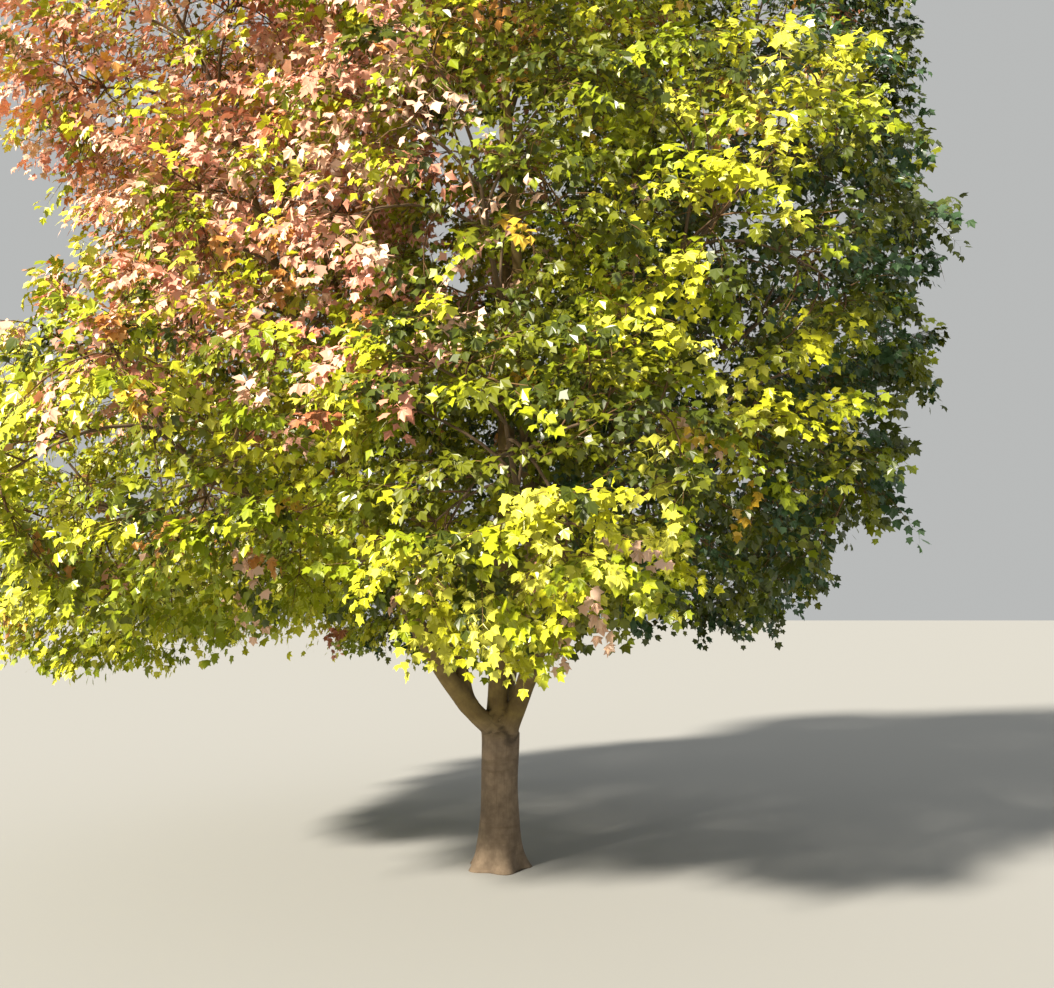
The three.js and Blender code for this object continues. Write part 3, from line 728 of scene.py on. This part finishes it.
# The tints of early autumn, dealt out a spray at a time: coral and salmon where the upper left of the crown
# has turned, and here and there gold and amber. Lime where it faces the light is painted light, and deep
# green on the right is painted shade, as are the darker greens in its hollows and between its clumps.
TINTS = {  # colour, slot
    "pale_lime": ("#cdcc48", "leaf_lime"),
    "lime": ("#c4c42b", "leaf_lime"),
    "yellow_green": ("#a6ae1d", "leaf_lime"),
    "grass_green": ("#8b981a", "leaf_green"),
    "olive_green": ("#6c7214", "leaf_green"),
    "deep_green": ("#485315", "leaf_green"),
    "blue_green": ("#3c5733", "leaf_green"),
    "gold": ("#d3ad38", "leaf_autumn"),
    "amber": ("#c98f47", "leaf_autumn"),
    "coral": ("#d9947a", "leaf_autumn"),
    "salmon": ("#e6ad94", "leaf_autumn"),
    "peach": ("#e9c2a5", "leaf_autumn"),
    "rust": ("#b6744f", "leaf_autumn"),
}


def rises(value, middle, width):
    """A smooth step from 0 to 1: 1 / (1 + exp(-(value - middle) / width))."""
    return 1 / (1 + np.exp(-(value - middle) / width))


x, y, z = spots.T
drift = 0.35 * np.sin(2.1 * x + 1.3 * y) + 0.3 * np.sin(2.7 * z - 1.9 * y + 1)
drift += rng.normal(0, 0.35, len(spots))
turned = rises(0.2 * (z - 3.9) - x - 0.5 + 0.7 * drift, 0, 0.22)
turned *= rises(z - 0.3 * y + 0.2 * np.clip(-x - 1.6, 0, 1) + 0.75 * drift, 3.8, 0.2)
# Painted light and shade: sprays that stand out of the crown's face get more lime and pale lime, and those
# between the clumps and deep inside get more olive and deep green and less lime and peach
deep = rises(depth_in_crown(spots), 0.65, 0.12)
out = spray_out * (1 - deep)
# Painted light: the leading shoots get pale lime and lime, and are spared the painted shade of the right and
# of the hollows
leading = bells(spots, front_shoots, 0.36)
# Painted shade: the right and back of the crown, turned from the key light, get deep, olive and blue green,
# less so on the leading shoots
shaded = rises(x + 0.6 * drift + 0.45 * y - 0.25 * z - 0.6 * out, -0.3, 0.25) * (1 - 0.6 * leading)
# Painted shade: leaves in the hollows get olive and deep green in place of lime
hollow = bells(spots, front_hollows, 1.1) * (1 - leading)
# Painted light: the lower left, which faces the key light, gets more lime and less olive and deep green
lit = rises(-x - 0.1 * y + 0.5 * drift, 0.7, 0.5)
warm = 0.03 + 0.2 * rises(z + drift, 4.6, 0.4)
green = 1 - turned
sunny = green * (1 - shaded) * (1 - hollow)
# How likely each tint is for each spray. Pale lime and lime are painted light, and olive, deep and blue green
# are painted shade, placed by the masks above.
weights = {
    "pale_lime": sunny * (out * (0.1 + 0.2 * lit) + leading * 1.2) + turned * 0.06,
    "lime": sunny * (out * (0.4 + 0.2 * lit) + (1 - deep) * lit * 0.35 + leading * 1.2) + turned * 0.1,
    "yellow_green": sunny * 0.35 + turned * 0.1,
    "grass_green": sunny * (0.55 - 0.35 * out) + green * (shaded * 0.15 + hollow * 0.1) + turned * 0.08,
    "olive_green": (sunny * (0.45 - 0.3 * lit) * (1 - out) + turned * 0.05
                    + green * (shaded * 0.2 + hollow * 0.8)),
    "deep_green": green * (shaded * 0.6 + hollow * 0.6) + sunny * (1 - out) * (0.35 - 0.28 * lit),
    "blue_green": green * shaded * 0.65,
    "gold": sunny * warm * 0.3 + turned * 0.05,
    "amber": sunny * warm * 0.3 + turned * 0.07,
    "coral": turned * 0.28 + sunny * warm * 0.08,
    "salmon": turned * 0.36 + sunny * warm * 0.1,
    "peach": turned * 0.28 * (1 - deep) + sunny * (warm * 0.1 + leading * 0.12),
    "rust": turned * 0.07 + sunny * warm * 0.1,
}
shares = np.stack([weights[tint] for tint in TINTS], -1).cumsum(1)
tint_of = (shares < rng.random((len(spots), 1)) * shares[:, -1:]).sum(1)

for number, (tint, (colour, slot)) in enumerate(TINTS.items()):
    mine = kept & (tint_of[leaf_spray] == number)
    points, faces = leaves_of(FIVE_LOBES, mine & showing)
    inner_points, inner_faces = leaves_of(THREE_LOBES, mine & ~showing)
    faces = np.concatenate([faces, inner_faces + len(points)])
    leaf = piece_from(f"leaves_{tint}", np.concatenate([points, inner_points]), faces, False)
    # A live maple blade with a thin waxy skin: satin, not glossy, with the one tint of its spray
    leaf.data.materials.append(plain_finish(f"{tint}_maple_leaf", colour, 0.34))
    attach(leaf, "root")
    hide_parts(*[masses[m]["node"] for m in np.unique(spray_mass[tint_of == number])])

# Twig bark: brown on the older twigs, and smooth reddish brown on this year's shoots and sprays
TWIG_SIZES = {  # radius at root and tip, sides, rings
    "stem": (0.019, 0.009, 7, 9),
    "limb": (0.011, 0.005, 5, 6),
    "shoot": (0.0055, 0.003, 4, 4),
    "spray": (0.0028, 0.0015, 3, 2),
}
TWIG_PIECES = {  # kinds, finish, colour
    "older_twigs": (("stem", "limb"), "older_maple_twig", "#6a573f"),
    "leafy_shoots": (("shoot",), "young_maple_shoot", "#6e5334"),
    "leafy_sprays": (("spray",), "green_maple_spray", "#7a5c34"),
}
for name, (kinds, finish_name, colour) in TWIG_PIECES.items():
    points, faces, first = [], [], 0
    for kind in kinds:
        root, tip, sides, rings = TWIG_SIZES[kind]
        shares = np.linspace(0, 1, rings + 1)
        lines = curve_points(*twig_sets[kind].transpose(1, 0, 2), shares)
        tubes = lines[:, :, None] + round_rings(lines, sides) * taper(root, tip, shares)[:, None, None]
        each = rings * sides + 1
        found = np.concatenate([tubes[:, :-1].reshape(len(lines), -1, 3), lines[:, -1:]], 1)
        points.append(found.reshape(-1, 3))
        steps = first + each * np.arange(len(lines))[:, None, None]
        faces.append((tube_faces(rings, sides) + steps).reshape(-1, 3))
        first += each * len(lines)
    twigs = piece_from(name, np.concatenate(points), np.concatenate(faces), True)
    twigs.data.materials.append(plain_finish(finish_name, colour, 0.8))
    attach(twigs, "root")
    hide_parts(*[mass["node"] for mass in masses])

# The stage: a plain pale floor under an even pale sky, with a soft key light from the left and in front
sky = bpy.data.worlds.new("pale_sky")
sky.use_nodes = True
sky.node_tree.nodes["Background"].inputs["Color"].default_value = linear("#e8eae9")
sky.node_tree.nodes["Background"].inputs["Strength"].default_value = 0.6
bpy.context.scene.world = sky
FLOOR_REACH = 150
floor_points = FLOOR_REACH * np.array([[-1, -1, 0], [1, -1, 0], [1, 1, 0], [-1, 1, 0]])
floor = piece_from("floor", floor_points, np.array([[0, 1, 2], [0, 2, 3]]), False)
floor.data.materials.append(plain_finish("pale_floor", "#a3a3a0", 0.9))

key = bpy.data.lights.new("key", "SUN")
key.energy = 9.8
key.angle = 0.1
key.color = linear("#fff6e6")[:3]
key_object = bpy.data.objects.new("key", key)
key_object.rotation_euler = (np.radians(60), 0, np.radians(-45))
bpy.context.scene.collection.objects.link(key_object)

camera = bpy.data.cameras.new("camera")
camera.sensor_width = 36
camera.lens = camera.sensor_width * FOCAL_PIXELS / PHOTO_SIZE[0]
camera_object = bpy.data.objects.new("camera", camera)
camera_object.location = EYE
camera_object.rotation_euler = (np.radians(90) + PITCH, 0, 0)
bpy.context.scene.collection.objects.link(camera_object)
bpy.context.scene.camera = camera_object

bpy.context.scene.view_settings.view_transform = "Standard"
